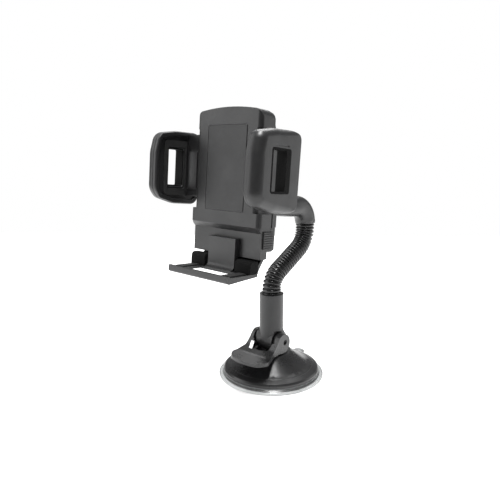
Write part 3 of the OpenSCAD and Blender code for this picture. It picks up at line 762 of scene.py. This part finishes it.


# ---------------------------------------------------------- painted shade pieces

def build_ear_caps(mats):
    """Near-black covers over the tray's two ears: painted shade, for ears that sit in shadow."""
    ear = [(-38.0, -6.9, 0.3), (-38.0, 1.5, 0.3), (-29.5, 1.5, 2.8), (-29.5, -6.9, 2.8)]
    for side, hand in SIDES:
        solid = Solid()
        # painted shade: the covers darken the ears' fronts and tops
        solid.slab(anticlockwise(rounded(ear, 6)), 13.7, 26.9, from_the_side(side), 0.5, 0.5)
        solid.make("foot_ear_cap_" + hand, mats["cap"], "foot", "black_rubber")


def build_window_shade_sleeves(mats):
    """Dark sleeve inside each jaw's window, with a flush frame round its mouth: painted shade in
    the window's reveals and round its edge.
    """
    window = soft_rectangle(*JAW_WINDOW, 1.5, 5)
    frame = soft_rectangle(*JAW_FRAME, 1.6, 5)
    mouth = JAW_OUT - 0.2
    for side, hand in SIDES:
        place = from_the_side(side)
        solid = Solid()
        # painted shade: a near-black sleeve lines the window's reveals
        solid.slab(inset(window, -0.05), JAW_IN + 0.4, mouth, place, holes=[inset(window, 0.75)])
        solid.slab(frame, mouth, JAW_OUT + 0.09, place, 0.0, 0.06, [inset(window, 0.75)], 0.06)
        name = "jaw_" + hand
        solid.make(name + "_window_shade_sleeve", mats["cap"], name, "black_rubber")


def build_pad_shade_strips(mats):
    """Dark strips down both long sides of the pad, the right one wider: painted shadow along the
    pad's edges.
    """
    solid = Solid()
    for u0, u1 in ((-17.05, -16.85), (16.55, 17.1)):
        # painted shadow: near-black strips where the pad's edges cast shade
        solid.slab(rectangle(u0, u1, 1.2, 54.6), -0.5, 0.13, cradle)
    solid.make("front_pad_shade_strips", mats["cap"], "cradle", "black_rubber")


# --------------------------------------------------------- kept CAD nodes

# each kept node's finish, and the width in millimetres that its edges are rounded by
KEPT = {
    "base_dome": ("gloss", 0.3),
    "disc_post": ("satin", 0.3),
    "pivot_pin": ("steel", 0.15),
    "lock_lever": ("gloss", 0.55),
    "lever_catch": ("steel", 0.12),
    "stem": ("satin", 0.4),
    "stem_ring": ("rubber", 0.2),
    "neck_core_1": ("steel", 0),
    "neck_core_2": ("steel", 0),
    "neck_core_3": ("steel", 0),
    "neck_core_4": ("steel", 0),
    "ball_liner": ("nylon", 0.2),
    "clamp_nut": ("satin", 0.35),
    "back_shell": ("satin", 0.4),
    "front_shell": ("satin", 0.4),
    "shell_screws": ("steel", 0.1),
    "front_pad": ("textured", 0.25),
    "jaw_pad_left": ("rubber", 0.2),
    "jaw_pad_right": ("rubber", 0.2),
    "jaw_pinion": ("nylon", 0.12),
    "release_slider": ("nylon", 0.2),
    "button_left": ("textured", 0.2),
    "button_right": ("textured", 0.2),
    "foot": ("satin", 0.35),
    "foot_grip": ("rubber", 0.2),
}


def dress_cad(nodes, mats):
    for name, (finish, width) in KEPT.items():
        obj = nodes[name]
        obj.data.materials.clear()
        obj.data.materials.append(mats[finish])
        if width:
            soften(obj, width)


# ------------------------------------------------------------ studio set-up

WHITE = (1.0, 1.0, 1.0, 1.0)
FLOOR_FRONT, FLOOR_BACK, FLOOR_HALF = -0.42, 0.62, 0.7
FLOOR_TURN = math.radians(38.3)
ROOM_LIGHT = 0.22
CAMERA_PLACE = (0.2273, -0.2880, 0.1707)
CAMERA_PITCH, CAMERA_TURN = math.radians(78.54), math.radians(40.82)


def build_stage():
    """A plain pale table that lights itself a little, so that it reads as white."""
    s = Shader("paper")
    s.feed("Base Color", s.blend(s.spread(s.noise(6.0), 0, 1), (0.93, 0.93, 0.93),
                                 (0.95, 0.95, 0.95)))
    s.fix(Roughness=0.9, Specular_IOR_Level=0.1, Emission_Strength=0.5, Emission_Color=WHITE)
    verts = [(*corner, 0.0)
             for corner in rectangle(-FLOOR_HALF, FLOOR_HALF, FLOOR_FRONT, FLOOR_BACK)]
    floor = mesh_object("floor", verts, [(0, 1, 2, 3)], 1.0)
    floor.rotation_euler = (0, 0, FLOOR_TURN)
    floor.data.materials.append(s.material)


def area_light(name, position, target, width, height, energy):
    """A rectangular light at a position in metres, turned towards its target."""
    data = bpy.data.lights.new(name, "AREA")
    data.shape = "RECTANGLE"
    data.size, data.size_y = width, height
    data.energy = energy
    light = bpy.data.objects.new(name, data)
    bpy.context.scene.collection.objects.link(light)
    light.location = position
    aim = Vector(target) - Vector(position)
    light.rotation_euler = aim.to_track_quat("-Z", "Y").to_euler()


def build_lights():
    """Tall boxes in front and behind, and lights from above for the tops and the dome."""
    area_light("front_box", (-0.62, -0.80, 0.16), (0, 0, 0.1), 0.62, 0.9, 4.2)
    area_light("back_box", (0.62, 0.86, 0.20), (0, 0, 0.1), 0.62, 0.9, 2.7)
    area_light("overhead", (0.17, -0.22, 1.0), (0, 0, 0.1), 0.22, 0.22, 8.0)
    area_light("dome_key", (-0.02, 0.05, 0.95), (0, 0, 0.0), 0.2, 0.2, 5.0)
    area_light("fill", (-0.75, -0.45, 0.75), (0, 0, 0.03), 0.6, 0.6, 2.6)
    area_light("rear_top", (-0.5, 0.7, 1.1), (0, 0.1, 0.0), 0.6, 0.6, 9.0)


def build_world():
    """White where the camera sees it, and dim as a source of light."""
    world = bpy.data.worlds.new("studio")
    world.use_nodes = True
    nodes, links = world.node_tree.nodes, world.node_tree.links
    dim = nodes["Background"]
    dim.inputs["Color"].default_value = WHITE
    dim.inputs["Strength"].default_value = ROOM_LIGHT
    seen = nodes.new("ShaderNodeBackground")
    seen.inputs["Color"].default_value = WHITE
    seen.inputs["Strength"].default_value = 1.0
    path = nodes.new("ShaderNodeLightPath")
    mix = nodes.new("ShaderNodeMixShader")
    links.new(path.outputs["Is Camera Ray"], mix.inputs["Fac"])
    links.new(dim.outputs["Background"], mix.inputs[1])
    links.new(seen.outputs["Background"], mix.inputs[2])
    links.new(mix.outputs["Shader"], nodes["World Output"].inputs["Surface"])
    bpy.context.scene.world = world


def build_camera():
    data = bpy.data.cameras.new("camera")
    data.sensor_width = 36.0
    data.lens = 36.417
    data.clip_start = 0.01
    camera = bpy.data.objects.new("camera", data)
    camera.location = CAMERA_PLACE
    camera.rotation_euler = (CAMERA_PITCH, 0.0, CAMERA_TURN)
    bpy.context.scene.collection.objects.link(camera)
    bpy.context.scene.camera = camera


def main():
    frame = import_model()
    build_camera()
    mats = make_materials()
    build_stage()
    build_lights()
    build_world()
    dress_cad(frame["nodes"], mats)
    build_neck(mats)
    build_elbow(mats)
    build_disc(mats)
    build_tab(mats)
    build_jaws(mats)
    build_spring(mats)
    build_ear_caps(mats)
    build_window_shade_sleeves(mats)
    build_pad_shade_strips(mats)
    bpy.context.scene.view_settings.view_transform = "Standard"


main()
